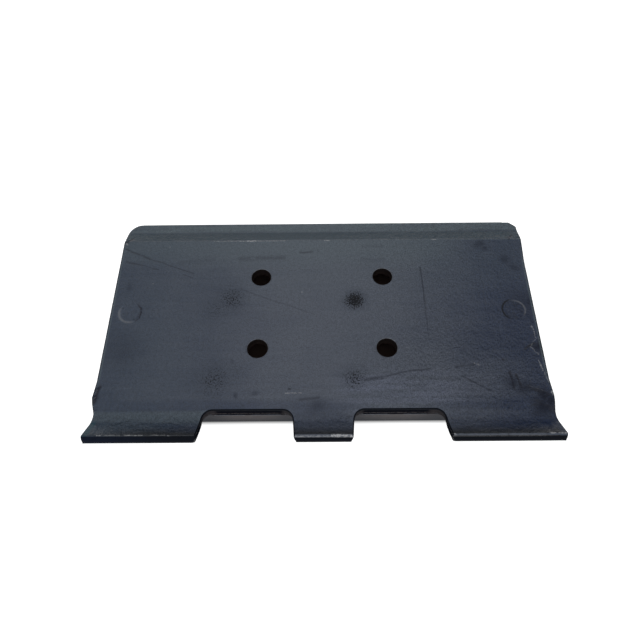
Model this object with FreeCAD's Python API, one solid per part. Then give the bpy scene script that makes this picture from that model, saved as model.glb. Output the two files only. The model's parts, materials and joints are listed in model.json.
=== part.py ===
import FreeCAD, Part
import math
import os

# Steel track shoe with three grousers, cropped from one hot-rolled bar and lying link face up.
# The origin is the centre of the four bolt holes, on the link face. X runs across the track,
# minus Y points to the hooked lip, and Z points from the ground side to the links.

# Overall sizes, in millimetres
shoe_width = 450.0
plate_thickness = 11.5
shoe_height = 40.0

# Bolt holes through the plate, punched from the link face
bolt_spacing_x = 133.0
bolt_spacing_y = 88.0
bolt_hole_d = 21.6
bolt_hole_edge = 0.8

# Section of the bar: flat link face
link_face_back = 93.8
link_face_front = 105.1
bend_edge_r = 1.2
dip_edge_r = 4.0

# Section of the bar: tail, bent down towards the ground
tail_slope = 21.0
tail_run = 17.2
tail_tip_slope = 8.0
tail_tip_run = 15.4
tail_knee_r = 25.0
tail_thickness = 7.6
tail_tip_r = 3.0

# Section of the bar: dip and hooked lip, turned up towards the links
dip_slope = 15.5
dip_run = 14.5
dip_r = 15.0
lip_slope = 37.7
lip_height = 12.7
lip_thickness = 9.7
lip_root_r = 16.0
lip_ridge_r = 1.6
lip_nose_r = 3.6

# Section of the bar: equal grousers with drafted faces, placed from the edges of the link face
grouser_count = 3
grouser_back_reach = 8.7
grouser_front_inset = 2.6
grouser_tip_width = 12.6
grouser_draft = 4.0
grouser_tip_r = 3.0
grouser_root_r = 6.0

# Reliefs cut in the lip for the ends of the links, reaching to both sides of each bolt row
relief_setback = 6.1
relief_inner_back = 35.5
relief_inner_front = 41.5
relief_outer_back = 49.2
relief_outer_front = 53.7
relief_corner_r = 9.5
relief_right_offset = 1.9
relief_draft = 6.0
lip_corner_r = 5.5

# Corners of the tail: rounded on the left, cut off straight on the right
tail_corner_r = 18.0
tail_corner_cut = 8.5
tail_corner_edge_r = 1.5

# Sheared ends in plan: how far each stretch stands out from half the width
end_tail = 2.8
end_plate = 0.9
end_burr = 2.6
end_dip_left = -1.0
end_dip_right = 1.4
end_lip_left = 0.9
end_lip_right = 2.8
end_edge_r = 6.0

# Sheared ends in plan: where the stretches meet, measured from the bends of the bar
end_tail_reach = 5.7
end_tail_run = 31.0
end_plate_stop = 25.0
end_burr_place = 8.0
end_dip_place = 6.0
end_lip_place = 3.0

# Shallow round marks near the two ends of the link face
mark_from_end = 21.0
mark_rim_d = 23.6
mark_floor_d = 21.2
mark_depth = 0.6

# Clearance of every cutting body past the faces that it cuts
cut_margin = 5.0


def along(angle, run):
    """Height lost over a run at a slope in degrees."""
    return run * math.tan(math.radians(angle))


def corner_span(corner, radius, before, after):
    """Start, middle and end of the arc that rounds a corner between two neighbouring corners."""
    back = before - corner
    ahead = after - corner
    half_opening = back.getAngle(ahead) / 2.0
    reach = min(radius / math.tan(half_opening), 0.49 * back.Length, 0.49 * ahead.Length)
    depth = reach / math.cos(half_opening) - reach * math.tan(half_opening)
    back.normalize()
    ahead.normalize()
    inward = (back + ahead).normalize()
    return corner + back * reach, corner + inward * depth, corner + ahead * reach


def rounded_outline(corners):
    """Closed outline through corners (position, radius); a radius of 0 stays a sharp corner."""
    count = len(corners)
    spans = []
    for index in range(count):
        corner, radius = corners[index]
        before = corners[index - 1][0]
        after = corners[(index + 1) % count][0]
        spans.append(corner_span(corner, radius, before, after))
    edges = []
    for index in range(count):
        start, middle, end = spans[index]
        if corners[index][1] > 0.0:
            edges.append(Part.Arc(start, middle, end).toShape())
        following = spans[(index + 1) % count][0]
        edges.append(Part.LineSegment(end, following).toShape())
    return Part.Wire(edges)


def section_corner(y, z, radius):
    return FreeCAD.Vector(0.0, y, z), radius


def plan_corner(x, y, radius):
    return FreeCAD.Vector(x, y, 0.0), radius


# Places worked out from the sizes
half_width = shoe_width / 2.0
front_grouser_y = grouser_front_inset - link_face_front
back_grouser_y = link_face_back + grouser_back_reach
relief_y = -link_face_front - relief_setback
tail_knee_y = link_face_back + tail_run
tail_knee_z = -along(tail_slope, tail_run)
tail_end_y = tail_knee_y + tail_tip_run
tail_end_z = tail_knee_z - along(tail_tip_slope, tail_tip_run)
dip_y = -link_face_front - dip_run
dip_z = -along(dip_slope, dip_run)
lip_angle = math.radians(lip_slope)
ridge_y = dip_y - (lip_height - dip_z) / math.tan(lip_angle)
nose_y = ridge_y - lip_thickness * math.sin(lip_angle)
nose_z = lip_height - lip_thickness * math.cos(lip_angle)
lip_root_y = nose_y + (nose_z + plate_thickness) / math.tan(lip_angle)


def grouser_half_width(z):
    """Half the width of a grouser at height z, without its rounded corners."""
    return grouser_tip_width / 2.0 + along(grouser_draft, z + shoe_height)


def tail_underside(y):
    """Height of the tail's underside, parallel to its outer slope."""
    wall = tail_thickness / math.cos(math.radians(tail_tip_slope))
    return tail_end_z - wall + along(tail_tip_slope, tail_end_y - y)


def section():
    """Section of the bar in the plane across its length."""
    corners = [
        section_corner(tail_end_y, tail_end_z, tail_tip_r),
        section_corner(tail_knee_y, tail_knee_z, tail_knee_r),
        section_corner(link_face_back, 0.0, bend_edge_r),
        section_corner(-link_face_front, 0.0, dip_edge_r),
        section_corner(dip_y, dip_z, dip_r),
        section_corner(ridge_y, lip_height, lip_ridge_r),
        section_corner(nose_y, nose_z, lip_nose_r),
        section_corner(lip_root_y, -plate_thickness, lip_root_r),
    ]
    pitch = (back_grouser_y - front_grouser_y) / (grouser_count - 1)
    for place in range(grouser_count):
        centre = front_grouser_y + place * pitch
        root = grouser_half_width(-plate_thickness)
        tip = grouser_tip_width / 2.0
        corners.append(section_corner(centre - root, -plate_thickness, grouser_root_r))
        corners.append(section_corner(centre - tip, -shoe_height, grouser_tip_r))
        corners.append(section_corner(centre + tip, -shoe_height, grouser_tip_r))
        if place < grouser_count - 1:
            corners.append(section_corner(centre + root, -plate_thickness, grouser_root_r))
        else:
            root_z = tail_underside(centre + root)
            root_y = centre + grouser_half_width(root_z)
            corners.append(section_corner(root_y, root_z, grouser_root_r))
    corners.append(section_corner(tail_end_y, tail_underside(tail_end_y), tail_tip_r))
    return Part.Face(rounded_outline(corners))


def end_line(dip, lip):
    """Points of one sheared end as (stand-out, y), from the plate to the lip."""
    return [
        (end_plate, end_plate_stop - link_face_front),
        (end_burr, end_burr_place - link_face_front),
        (dip, end_dip_place + dip_y),
        (lip, end_lip_place + ridge_y),
    ]


def plan():
    """Outline of the shoe seen from the link side, without the reliefs in its lip."""
    tail = half_width + end_tail
    corners = [
        plan_corner(-half_width - end_plate, tail_end_y, tail_corner_r),
        plan_corner(tail - tail_corner_cut, tail_end_y, tail_corner_edge_r),
        plan_corner(tail, tail_end_y - tail_corner_cut, tail_corner_edge_r),
        plan_corner(tail, link_face_back + end_tail_reach, end_edge_r),
        plan_corner(half_width + end_plate, link_face_back - end_tail_run, end_edge_r),
    ]
    for stand_out, y in end_line(end_dip_right, end_lip_right):
        corners.append(plan_corner(half_width + stand_out, y, end_edge_r))
    corners.append(plan_corner(half_width + end_lip_right, nose_y, lip_corner_r))
    corners.append(plan_corner(-half_width - end_lip_left, nose_y, lip_corner_r))
    for stand_out, y in reversed(end_line(end_dip_left, end_lip_left)):
        corners.append(plan_corner(-half_width - stand_out, y, end_edge_r))
    return Part.Face(rounded_outline(corners))


def rolled_bar():
    """A length of the bar, longer than the shoe."""
    length = shoe_width + 4.0 * cut_margin
    bar = section().extrude(FreeCAD.Vector(length, 0.0, 0.0))
    bar.translate(FreeCAD.Vector(-length / 2.0, 0.0, 0.0))
    return bar


def cropped_shoe():
    """The bar cut to the plan outline, from below the grousers to above the lip."""
    blade = plan().extrude(FreeCAD.Vector(0.0, 0.0, shoe_height + lip_height + 2.0 * cut_margin))
    blade.translate(FreeCAD.Vector(0.0, 0.0, -shoe_height - cut_margin))
    return rolled_bar().common(blade)


def relief_outline(z):
    """Plan of one relief at height z, open past the nose of the lip."""
    bolt_row = bolt_spacing_x / 2.0
    outward = bolt_row - along(relief_draft, z)
    inward = bolt_row + along(relief_draft, z)
    clear = 2.0 * lip_corner_r
    past = nose_y - cut_margin
    places = [
        (outward + relief_outer_front + clear, past, 0.0),
        (outward + relief_outer_front + clear, nose_y, 0.0),
        (outward + relief_outer_front, nose_y, lip_corner_r),
        (outward + relief_outer_back, relief_y, relief_corner_r),
        (inward - relief_inner_back, relief_y, relief_corner_r),
        (inward - relief_inner_front, nose_y, lip_corner_r),
        (inward - relief_inner_front - clear, nose_y, 0.0),
        (inward - relief_inner_front - clear, past, 0.0),
    ]
    return rounded_outline([plan_corner(x, y, radius) for x, y, radius in places])


def relief(side):
    """Cutting bodies of one relief, leaning out both ways so that it widens downwards."""
    top = lip_height + cut_margin
    depth = top + shoe_height + cut_margin
    outline = Part.Face(relief_outline(top))
    outline.translate(FreeCAD.Vector(0.0, 0.0, top))
    bodies = []
    for lean in (-1.0, 1.0):
        body = outline.extrude(FreeCAD.Vector(lean * along(relief_draft, depth), 0.0, -depth))
        if side < 0:
            body = body.mirror(FreeCAD.Vector(0.0, 0.0, 0.0), FreeCAD.Vector(1.0, 0.0, 0.0))
        else:
            body.translate(FreeCAD.Vector(relief_right_offset, 0.0, 0.0))
        bodies.append(body)
    return bodies


def flare(x, y, floor_d, rim_d, depth):
    """Cutting cone: rim_d wide on the link face, floor_d wide at its depth."""
    slope = (rim_d - floor_d) / 2.0 / depth
    top_radius = rim_d / 2.0 + slope * cut_margin
    base = FreeCAD.Vector(x, y, -depth)
    up = FreeCAD.Vector(0.0, 0.0, 1.0)
    return Part.makeCone(floor_d / 2.0, top_radius, depth + cut_margin, base, up)


def bolt_hole(x, y):
    """Cutting bodies of one bolt hole and of its rim, drawn in by the punch."""
    rim_d = bolt_hole_d + 2.0 * bolt_hole_edge
    base = FreeCAD.Vector(x, y, -plate_thickness - cut_margin)
    bore = Part.makeCylinder(bolt_hole_d / 2.0, plate_thickness + 2.0 * cut_margin, base)
    return [bore, flare(x, y, bolt_hole_d, rim_d, bolt_hole_edge)]


def track_shoe():
    shoe = cropped_shoe()
    cutters = []
    for side_x in (-0.5, 0.5):
        for side_y in (-0.5, 0.5):
            cutters.extend(bolt_hole(side_x * bolt_spacing_x, side_y * bolt_spacing_y))
    for side in (-1, 1):
        mark_x = side * (half_width - mark_from_end)
        cutters.append(flare(mark_x, 0.0, mark_floor_d, mark_rim_d, mark_depth))
        cutters.extend(relief(side))
    return shoe.cut(cutters)


os.makedirs("parts", exist_ok=True)
shoe = track_shoe()
shoe.exportStep("parts/track_shoe.step")
box = shoe.BoundBox
print("solids", len(shoe.Solids), "valid", shoe.isValid(), "volume mm3", round(shoe.Volume))
print("x", round(box.XMin, 2), round(box.XMax, 2))
print("y", round(box.YMin, 2), round(box.YMax, 2))
print("z", round(box.ZMin, 2), round(box.ZMax, 2))
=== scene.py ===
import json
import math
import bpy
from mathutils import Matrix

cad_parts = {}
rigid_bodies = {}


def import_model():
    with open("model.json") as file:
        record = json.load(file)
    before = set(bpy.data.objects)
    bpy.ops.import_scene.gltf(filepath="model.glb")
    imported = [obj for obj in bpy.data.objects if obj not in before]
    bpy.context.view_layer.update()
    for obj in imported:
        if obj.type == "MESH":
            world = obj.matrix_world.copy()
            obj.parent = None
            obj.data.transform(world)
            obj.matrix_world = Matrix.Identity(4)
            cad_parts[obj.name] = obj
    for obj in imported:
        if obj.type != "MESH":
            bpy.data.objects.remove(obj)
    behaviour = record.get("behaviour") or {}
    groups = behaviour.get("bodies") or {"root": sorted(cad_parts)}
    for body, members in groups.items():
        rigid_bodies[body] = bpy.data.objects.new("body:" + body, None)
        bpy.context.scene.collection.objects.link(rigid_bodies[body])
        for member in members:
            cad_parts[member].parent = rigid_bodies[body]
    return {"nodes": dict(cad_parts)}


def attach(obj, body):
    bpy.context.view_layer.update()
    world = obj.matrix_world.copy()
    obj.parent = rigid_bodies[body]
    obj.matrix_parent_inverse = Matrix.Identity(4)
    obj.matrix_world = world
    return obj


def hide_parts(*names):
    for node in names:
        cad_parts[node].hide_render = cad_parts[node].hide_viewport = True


bl_info = {
    "name": "Steel Track Shoe",
    "version": (1, 0, 0),
    "blender": (4, 5, 0),
    "location": "View3D > Sidebar > Track Shoe",
    "description": "Dresses the packed track shoe in worn paint and sets its stage",
    "category": "Object",
}

import bmesh
import bpy
import numpy as np
from bpy.props import FloatProperty, FloatVectorProperty, PointerProperty
from mathutils import Vector, noise

for default_object in list(bpy.data.objects):
    bpy.data.objects.remove(default_object)

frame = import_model()

SHOE_NODE = "track_shoe"
MM = 0.001

# Corners of the rolled section as (y, z, radius) in mm, from the tail over the top and back underneath
SECTION = (
    (126.4, -8.77, 3),
    (111, -6.6, 25),
    (93.8, 0, 1.2),
    (-105.1, 0, 4),
    (-119.6, -4.02, 15),
    (-141.23, 12.7, 1.6),
    (-147.17, 5.03, 3.6),
    (-125.79, -11.5, 16),
    (-110.79, -11.5, 6),
    (-108.8, -40, 3),
    (-96.2, -40, 3),
    (-94.21, -11.5, 6),
    (-8.29, -11.5, 6),
    (-6.3, -40, 3),
    (6.3, -40, 3),
    (8.29, -11.5, 6),
    (94.21, -11.5, 6),
    (96.2, -40, 3),
    (108.8, -40, 3),
    (110.6, -14.25, 6),
    (126.4, -16.44, 3),
)
TOP_POINTS = 7
RIDGE = 5

# Bolt holes as (x, y) with their radii, and round marks as (x, y, radius), in mm
BOLTS = tuple((x, y) for x in (-66.5, 66.5) for y in (-44, 44))
BORE_RADIUS = 10.8
RIM_RADIUS = 11.6
MARKS = ((-204, 0, 11.8), (204, 0, 11.8))
MARK_BOTTOM = 10.6

# Where the sheared ends, the link reliefs and the crest of the lip begin, in mm from the origin
END_START = 200.0
RELIEF_REACH = 130.0
RELIEF_BACK = -109.0
LIP_CREST = -137.5

# Faces whose normal rises more than this belong to the top
TOP_SLOPE = 0.35

ACROSS = (1, 0, 0)
ALONG = (0, 1, 0)
UPWARD = (0, 0, 1)

# Places of the finishes among the shoe's materials
WORN, CUT, DULL, NOSE, BORE = range(5)

# Patches torn by the shear as (x, y, reach, depth) in mm
TORN_PATCHES = (
    (-226, -96, 8, 1.6),
    (220, -97, 11, 0.7),
    (226, -118, 6, 0.9),
    (-222, 92, 4, 0.8),
    (222, 96, 5, 0.9),
)

# Soft dark smears and spattered spots as (x, y, reach in mm, strength)
SMEARS = (
    (-86.4, -96.1, 5, 0.55),
    (-66.9, -93.6, 4.5, 0.40),
    (-92.6, -59, 5, 0.28),
    (-4, -108, 13, 0.45),
    (-208.1, 31.6, 7.5, 0.35),
    (-205, -45, 34, 0.3),
    (177.6, 86, 11, 0.6),
    (183.4, 79.5, 7, 0.6),
    (204.8, 64.9, 10, 0.6),
    (211.9, 55, 9, 0.5),
    (214, 8, 30, 0.45),
    (188, -84, 14, 0.75),
    (199, -90, 13, 0.7),
    (216, -98, 14, 1),
    (214, -109, 19, 0.9),
    (222, -45, 9, 0.9),
    (223, -103, 13, 1),
    (222, 10, 12, 0.7),
    (-223.5, -88, 5, 1),
    (-224, -97, 6, 1),
)
SPOTS = (
    (35, 12.9, 19, 1),
    (-97, 15.5, 29, 0.52),
    (-112, 4, 27, 0.36),
    (32, -78.8, 23, 0.58),
    (-108.5, -79.5, 34, 0.46),
    (-86, -72, 20, 0.25),
)

# Scratches as (x, y, z of one end, x, y, z of the other, width in mm, strength)
DARK_SCRATCHES = (
    (-222, 84, 0, -192, 69.6, 0, 2.2, 0.48),
    (-192, 69.6, 0, -141.7, 49.5, 0, 1.5, 0.42),
    (-218.4, 65.8, 0, -203.3, 62.2, 0, 2.2, 0.45),
    (-203.3, 62.2, 0, -181.1, 54.5, 0, 1.8, 0.35),
    (-152.6, 48.2, 0, -142.2, 43.5, 0, 1.3, 0.4),
    (-157.8, 64.5, 0, -122.3, 67.8, 0, 5, 0.15),
    (-91, 69.3, 0, -42.8, 70.2, 0, 5.5, 0.28),
    (-23.8, 76.9, 0, -3.5, 78.1, 0, 2.4, 0.42),
    (-87.3, 27.9, 0, -42.2, 9.6, 0, 1.6, 0.22),
    (-42.2, 9.6, 0, -10.1, -3.1, 0, 1.6, 0.22),
    (-21.5, -100.8, 0, -3.9, -98.8, 0, 3, 0.45),
    (-33.2, -90.1, 0, -32, -90.1, 0, 1.5, 1),
    (47.4, 85.3, 0, 67.8, 84.4, 0, 4, 0.14),
    (45.6, 66.5, 0, 69, 66.3, 0, 4.5, 0.17),
    (108.3, 55.7, 0, 109.7, 47, 0, 1.7, 0.60),
    (109.7, 47, 0, 110.1, 8, 0, 1.2, 0.62),
    (110.1, 8, 0, 110.4, -33, 0, 1.1, 0.42),
    (42.9, -79.9, 0, 59.9, -77.3, 0, 3.2, 0.55),
    (59.9, -77.3, 0, 88.4, -69.9, 0, 1.9, 0.50),
    (88.4, -69.9, 0, 107.5, -68.9, 0, 2, 0.50),
    (134, -66.5, 0, 153, -64.5, 0, 2.2, 0.4),
    (140.5, -77.4, 0, 166, -92.4, 0, 1.7, 0.5),
    (182, -58.9, 0, 183.4, -58.9, 0, 1.7, 0.9),
    (187.4, -73.4, 0, 188.9, -90, 0, 2.5, 1),
    (193.5, -75.6, 0, 196.4, -90, 0, 2.3, 1),
    (188, -90, 0, 205.4, -89, 0, 4, 0.6),
    (204, -89.5, 0, 224.2, -98.6, 0, 4.5, 0.95),
    (208, -105, -0.8, 223, -111, -1.8, 9, 0.7),
    (223.4, -38, 0, 224.4, -53, 0, 4, 1),
    (207.5, -46.6, 0, 218, -40.5, 0, 2.6, 0.8),
    (-197.7, 9.8, -0.3, -193.4, 5.5, -0.3, 1.7, 0.9),
    (-193.4, 5.5, -0.3, -192.2, 0, -0.3, 2, 1),
    (-192.2, 0, -0.3, -193.6, -7.6, -0.3, 1.7, 0.9),
    (-193.6, -7.6, -0.3, -197.8, -11, -0.3, 1.2, 0.6),
    (204.4, 8.6, -0.4, 204.9, 4.9, -0.4, 1.5, 0.9),
    (209.5, 1.1, -0.4, 212.1, -2.7, -0.4, 1.3, 0.7),
    (201.1, -5, -0.4, 205.6, -9.9, -0.4, 1.3, 0.7),
    (-221, -86, -0.4, -223.6, -95, -1.2, 2.8, 1),
    (-223.6, -95, -1.2, -224, -103, -1.2, 3.4, 1),
    (-223, 92.8, -0.4, -216.5, 100, -2.6, 2.4, 1),
    (213.5, 94.6, -0.4, 218.5, 101, -2.6, 2.4, 1),
)
# Light scratches, with painted highlights along the crease and painted glints along the ridge of the lip
LIGHT_SCRATCHES_AND_GLINTS = (
    (-36.4, -93.9, 0, -21.6, -93.9, 0, 0.8, 0.5),
    (-172.6, 86.2, 0, -171.8, 86.2, 0, 0.9, 0.6),
    (-21.9, 24.1, 0, -21.1, 24.1, 0, 0.9, 0.5),
    (-185.1, 36.6, 0, -184.5, 36.6, 0, 0.9, 0.4),
    (154, -62.6, 0, 158, -64.6, 0, 1.3, 0.5),
    (218.5, -19.7, 0, 220.4, -35.1, 0, 0.9, 0.38),
    (220.4, -35.1, 0, 213, -44.4, 0, 0.8, 0.25),
    (213, -44.4, 0, 219.4, -53.3, 0, 0.9, 0.32),
    (218.4, -60, 0, 220.6, -72, 0, 1.1, 0.50),
    (220.6, -72, 0, 224, -84, 0, 0.9, 0.35),
    (225.4, -94, 0, 226.4, -97, 0, 1.8, 0.9),
    (204, -88, 0, 222, -95, 0, 0.9, 0.10),
    (-223, -89, -0.6, -225.8, -93, -1, 1, 0.25),
    (-223.4, -95.5, -0.6, -225.6, -98.5, -1, 1, 0.22),
    # Along the crease: worn paint and a painted highlight on its bend
    (-122, 93.8, 0, -42, 93.8, 0, 1.2, 0.40),
    (-93, 93.8, 0, -88, 93.8, 0, 1.2, 0.7),
    (-84, 93.8, 0, -76, 93.8, 0, 1.8, 1),
    (4, 93.8, 0, 9, 93.8, 0, 1.2, 0.7),
    (126, 93.8, 0, 130, 93.8, 0, 1.3, 0.7),
    (-222.8, 91.5, -0.2, -221.8, 90.5, 0, 1.6, 0.9),
    # Along the ridge of the lip: painted glints and highlight lines, with some bare nicks
    (-210, -140.2, 11.9, -207, -140.2, 11.9, 1.1, 0.9),
    (-203, -140.2, 11.9, -189, -140.2, 11.9, 1, 0.35),
    (-184, -140.2, 11.9, -168, -140.2, 11.9, 1.1, 0.7),
    (-160, -140.2, 11.9, -147, -140.2, 11.9, 1, 0.45),
    (-143.5, -140.8, 12, -142, -141.6, 11.8, 0.9, 0.6),
    (-33, -142.2, 11.4, 34, -142.2, 11.4, 1.6, 0.48),
    (9, -141.8, 11.7, 32, -142.6, 10.9, 2.3, 1.4),
    (13, -141.8, 11.7, 29, -142.6, 10.9, 2.3, 1.4),
    (119.5, -140.2, 11.9, 123, -140.9, 12, 1.6, 1),
    (211.5, -140.4, 12, 216.5, -140.4, 12, 1.2, 0.8),
    (219, -140.4, 12, 225.5, -140.4, 12, 1.3, 0.9),
)


class TrackShoeShape(bpy.types.PropertyGroup):
    """Sizes of the wear and of the sheared and cut edges"""

    mesh_step: FloatProperty(
        name="Mesh Step", description="Largest facet on the flat faces",
        default=0.006, min=0.003, unit="LENGTH")
    rolled_edge: FloatProperty(
        name="Rolled Edge", description="Radius that the shear drew along the top of both ends",
        default=0.0024, min=0.0, unit="LENGTH")
    cut_edge: FloatProperty(
        name="Cut Edge", description="Width of the eased edge round the link reliefs",
        default=0.0015, min=0.0, unit="LENGTH")
    shear_tear: FloatProperty(
        name="Shear Tear", description="Depth of the torn metal on the sheared ends",
        default=0.0009, min=0.0, unit="LENGTH")
    cut_ripple: FloatProperty(
        name="Cut Ripple", description="Depth of the ripples on the walls of the link reliefs",
        default=0.0005, min=0.0, unit="LENGTH")
    ridge_nick: FloatProperty(
        name="Ridge Nick", description="Depth of the nicks along the ridge of the lip",
        default=0.0005, min=0.0, unit="LENGTH")
    plate_wave: FloatProperty(
        name="Plate Wave", description="Depth of the slow waves that rolling left in the faces",
        default=0.00015, min=0.0, unit="LENGTH")


class TrackShoeFinish(bpy.types.PropertyGroup):
    """Colours of the paint, the bare steel, the grime and the painted shade, highlights and light, and the
    paint's roughness and grain
    """

    paint: FloatVectorProperty(
        name="Paint", description="Paint on the sheltered faces",
        subtype="COLOR", size=3, min=0.0, max=1.0, default=(0.010, 0.019, 0.047))
    # Also the painted highlight along the ridge of the lip
    faded_paint_and_highlight: FloatVectorProperty(
        name="Faded Paint", description="Paint where it has gone pale",
        subtype="COLOR", size=3, min=0.0, max=1.0, default=(0.058, 0.068, 0.093))
    # Painted shade on the slope of the tail just below its crease
    painted_tail_shade: FloatVectorProperty(
        name="Sheltered Paint", description="Paint just below the crease of the tail",
        subtype="COLOR", size=3, min=0.0, max=1.0, default=(0.006, 0.022, 0.038))
    pale_paint: FloatVectorProperty(
        name="Pale Paint", description="Palest paint, in front of the right bolt holes",
        subtype="COLOR", size=3, min=0.0, max=1.0, default=(0.086, 0.098, 0.140))
    # Greenish tone of the paint; on the tail tip, the left dip, the crease and the rolled rims of the ends it
    # is a painted sheen
    greenish_paint_and_sheen: FloatVectorProperty(
        name="Weathered Paint", description="Greenish paint along the tail and the back of the plate",
        subtype="COLOR", size=3, min=0.0, max=1.0, default=(0.070, 0.094, 0.110))
    left_lip_end: FloatVectorProperty(
        name="Left Lip End", description="Paint at the left end of the lip",
        subtype="COLOR", size=3, min=0.0, max=1.0, default=(0.008, 0.044, 0.064))
    right_lip_end: FloatVectorProperty(
        name="Right Lip End", description="Paint at the right end of the lip",
        subtype="COLOR", size=3, min=0.0, max=1.0, default=(0.010, 0.018, 0.042))
    grime: FloatVectorProperty(
        name="Grime", description="Smears and dark scratches",
        subtype="COLOR", size=3, min=0.0, max=1.0, default=(0.003, 0.006, 0.018))
    # Also the painted shade on the lip's foot, its front below the ridge, its nose, the rolled rims of the
    # ends and the right mark's inner rim
    soot_and_shade: FloatVectorProperty(
        name="Soot", description="Spattered spots, the foot of the lip and its nose",
        subtype="COLOR", size=3, min=0.0, max=1.0, default=(0.003, 0.004, 0.007))
    cut_steel: FloatVectorProperty(
        name="Cut Steel", description="Thinly painted steel of the cut and sheared walls",
        subtype="COLOR", size=3, min=0.0, max=1.0, default=(0.006, 0.006, 0.008))
    bore_steel: FloatVectorProperty(
        name="Bore Steel", description="Walls of the bolt holes",
        subtype="COLOR", size=3, min=0.0, max=1.0, default=(0.012, 0.008, 0.007))
    # Painted light at the lower ends of the bolt holes
    painted_bore_light: FloatVectorProperty(
        name="Bore Dust", description="Lower ends of the bolt holes",
        subtype="COLOR", size=3, min=0.0, max=1.0, default=(0.085, 0.058, 0.052))
    # Also the painted light on the grousers' faces and the relief side walls
    dust_and_light: FloatVectorProperty(
        name="Dust", description="Dust on the grousers and on the walls of the reliefs",
        subtype="COLOR", size=3, min=0.0, max=1.0, default=(0.078, 0.070, 0.073))
    # Also the painted glints along the ridge and the crease and on the marks' rims
    bare_steel_and_glint: FloatVectorProperty(
        name="Bare Steel", description="Steel that shows in nicks and chips",
        subtype="COLOR", size=3, min=0.0, max=1.0, default=(0.42, 0.42, 0.43))
    roughness: FloatProperty(
        name="Roughness", description="Roughness of the worn paint",
        default=0.42, min=0.05, max=1.0, subtype="FACTOR")
    grain: FloatProperty(
        name="Grain", description="Height of the fine grain in the paint",
        default=0.00020, min=0.0, unit="LENGTH", precision=6)


class TrackShoeStage(bpy.types.PropertyGroup):
    """Camera, light and floor"""

    camera_place: FloatVectorProperty(
        name="Camera Place", description="Where the camera stands",
        subtype="TRANSLATION", unit="LENGTH", size=3, default=(0.00208, -0.32700, 0.54561))
    camera_turn: FloatVectorProperty(
        name="Camera Turn", description="How the camera is turned",
        subtype="EULER", size=3, default=(0.524731, 0.009668, -0.003299))
    lens: FloatProperty(
        name="Lens", description="Focal length on a 36 mm sensor",
        default=33.689, min=10.0, unit="CAMERA")
    floor: FloatVectorProperty(
        name="Floor", description="Colour of the floor",
        subtype="COLOR", size=3, min=0.0, max=1.0, default=(0.60, 0.60, 0.60))
    # Painted light on the floor under the middle of the shoe, seen through the bolt holes
    shaded_floor: FloatVectorProperty(
        name="Shaded Floor", description="Colour of the floor that shows through the bolt holes",
        subtype="COLOR", size=3, min=0.0, max=1.0, default=(0.085, 0.058, 0.052))
    floor_size: FloatProperty(
        name="Floor Size", description="Length of the floor's sides",
        default=30.0, min=1.0, unit="LENGTH")
    back_light: FloatProperty(
        name="Back Light", description="Brightness of the light above the back of the shoe",
        default=0.95, min=0.0)
    back_light_width: FloatProperty(
        name="Back Light Width", description="Half width of the light above the back, as a share of the dome",
        default=0.28, min=0.05, subtype="FACTOR")
    back_light_shift: FloatProperty(
        name="Back Light Shift", description="How far left the light above the back stands, in half widths",
        default=0.14)
    front_light: FloatProperty(
        name="Front Light", description="Brightness of the light above the front of the shoe",
        default=0.75, min=0.0)
    light_color: FloatVectorProperty(
        name="Light Color", description="Colour of all the light",
        subtype="COLOR", size=3, min=0.0, max=1.0, default=(0.97, 0.99, 1.0))
    dome: FloatProperty(
        name="Dome", description="Brightness of the room all round",
        default=0.48, min=0.0)
    dome_back: FloatProperty(
        name="Dome Back", description="Brightness of the room behind the shoe",
        default=0.35, min=0.0)


def rounded_line(corners, facet=3.0):
    """Points of a closed line through corners (y, z, radius), with an arc at each corner."""
    points = []
    count = len(corners)
    for index in range(count):
        corner = Vector(corners[index][:2])
        back = Vector(corners[index - 1][:2]) - corner
        ahead = Vector(corners[(index + 1) % count][:2]) - corner
        half = back.angle(ahead) / 2.0
        reach = min(corners[index][2] / math.tan(half), 0.49 * back.length, 0.49 * ahead.length)
        radius = reach * math.tan(half)
        middle = corner + (back.normalized() + ahead.normalized()).normalized() * reach / math.cos(half)
        start = corner + back.normalized() * reach - middle
        stop = corner + ahead.normalized() * reach - middle
        first = math.atan2(start.y, start.x)
        sweep = (math.atan2(stop.y, stop.x) - first + math.pi) % math.tau - math.pi
        steps = max(2, int(abs(math.degrees(sweep)) / facet) + 1)
        for step in range(steps + 1):
            angle = first + sweep * step / steps
            points.append((middle.x + radius * math.cos(angle), middle.y + radius * math.sin(angle)))
    return np.array(points)


def cad_form():
    """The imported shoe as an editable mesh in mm, with whole faces in place of triangles."""
    form = bmesh.new()
    form.from_mesh(frame["nodes"][SHOE_NODE].data)
    bmesh.ops.scale(form, vec=(1.0 / MM, 1.0 / MM, 1.0 / MM), verts=form.verts)
    bmesh.ops.remove_doubles(form, verts=form.verts, dist=0.001)
    bmesh.ops.dissolve_limit(
        form, angle_limit=math.radians(0.3), use_dissolve_boundaries=False,
        verts=form.verts, edges=form.edges)
    return form


def is_end_wall(face):
    return abs(face.normal.z) < 0.3 and abs(face.calc_center_median().x) > END_START


def is_relief_wall(face):
    middle = face.calc_center_median()
    if abs(middle.x) > RELIEF_REACH or middle.y > RELIEF_BACK or abs(face.normal.z) > 0.5:
        return False
    on_back_wall = middle.y > -126.0 and face.normal.y < -0.9 and middle.z > -12.0
    return abs(face.normal.x) > 0.4 or on_back_wall


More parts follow.
